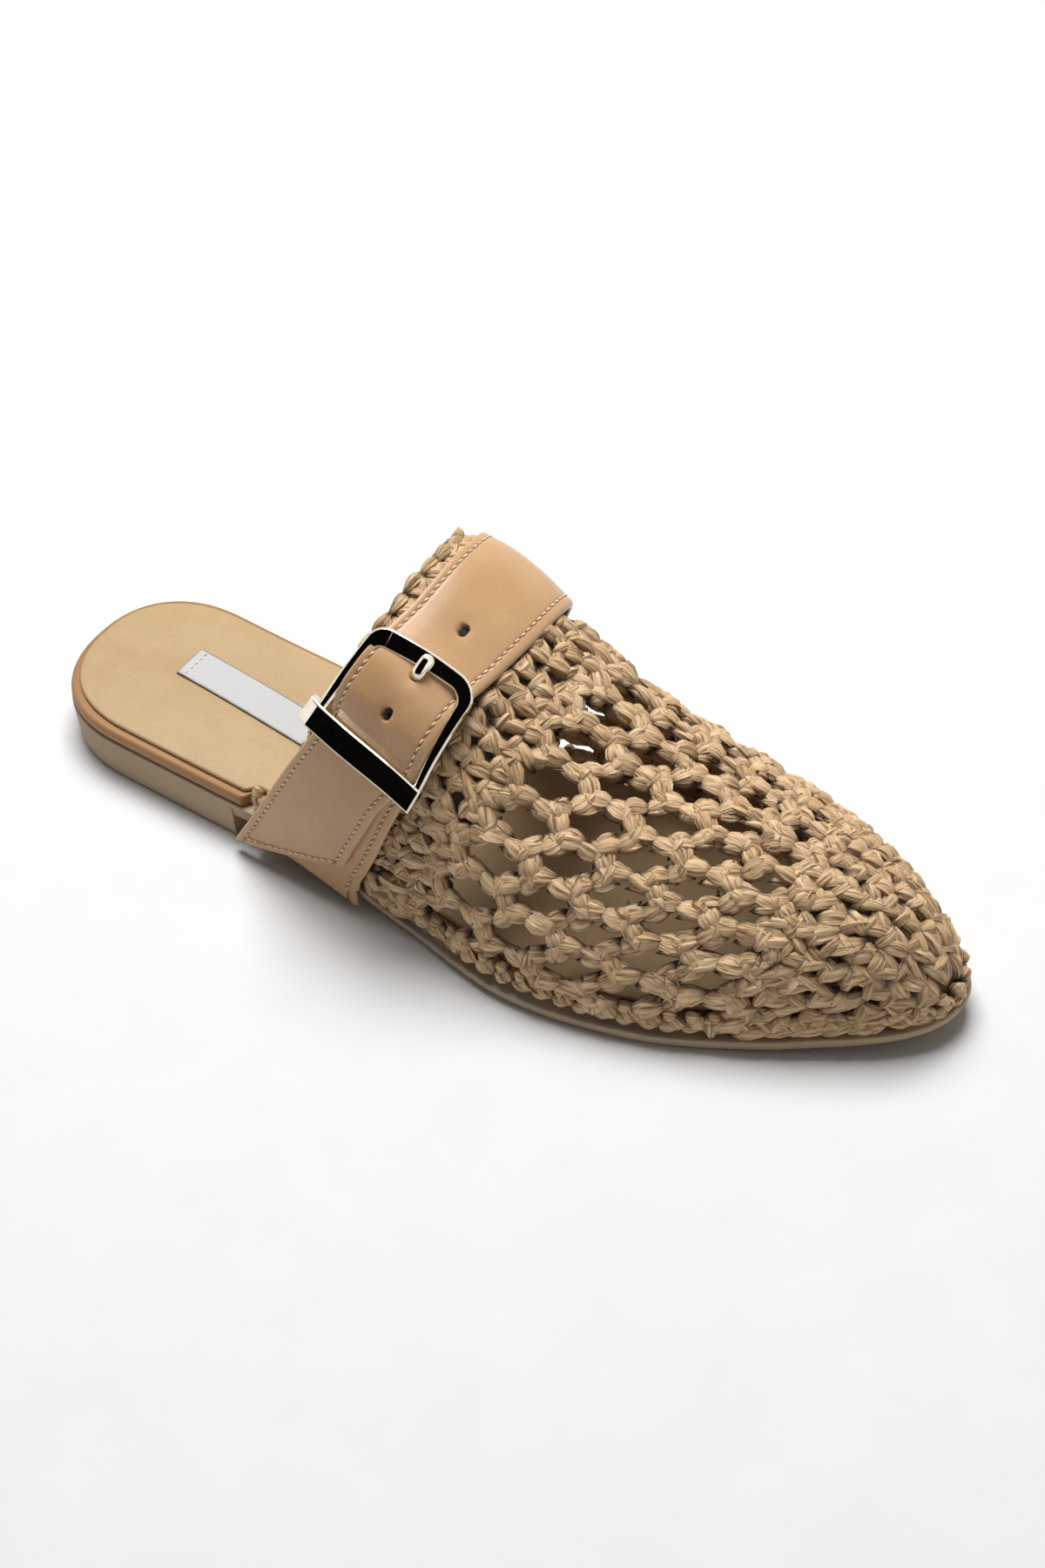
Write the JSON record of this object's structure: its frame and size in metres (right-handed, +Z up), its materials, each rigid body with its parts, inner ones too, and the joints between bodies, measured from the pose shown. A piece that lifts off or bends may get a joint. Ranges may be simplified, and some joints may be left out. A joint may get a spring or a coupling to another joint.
{
  "type": "crocheted mule slipper with buckled instep strap, right shoe",
  "caption": "Open-backed mule of crocheted raffia with pointed toe, low rubber sole, leather-wrapped footbed and a tan leather instep strap with pale gold buckle.",
  "frame": {"origin": "middle of the bounding box in plan, on the floor plane that the shoe stands on", "axes": "+Z up, -Y towards the toe, +Y towards the heel, -X towards the outer side of the foot, which carries the buckle"},
  "size_m": [0.0874, 0.2676, 0.0897],
  "materials": {
    "outsole": "matt moulded rubber",
    "insole_board": "satin orange-brown leather",
    "sock_lining": "matt pale tan leather",
    "label": "woven ribbon",
    "upper": "crocheted paper raffia",
    "strap_base": "satin tan leather",
    "strap": "satin tan leather",
    "buckle_frame": "polished pale gold plating",
    "buckle_prong": "polished pale gold plating"
  },
  "bodies": {
    "root": {"outsole": "outsole", "insole_board": "insole_board", "sock_lining": "sock_lining", "label": "label", "upper": "upper", "strap_base": "strap_base", "strap": "strap", "buckle_frame": "buckle_frame", "buckle_prong": "buckle_prong"}
  },
  "joints": []
}
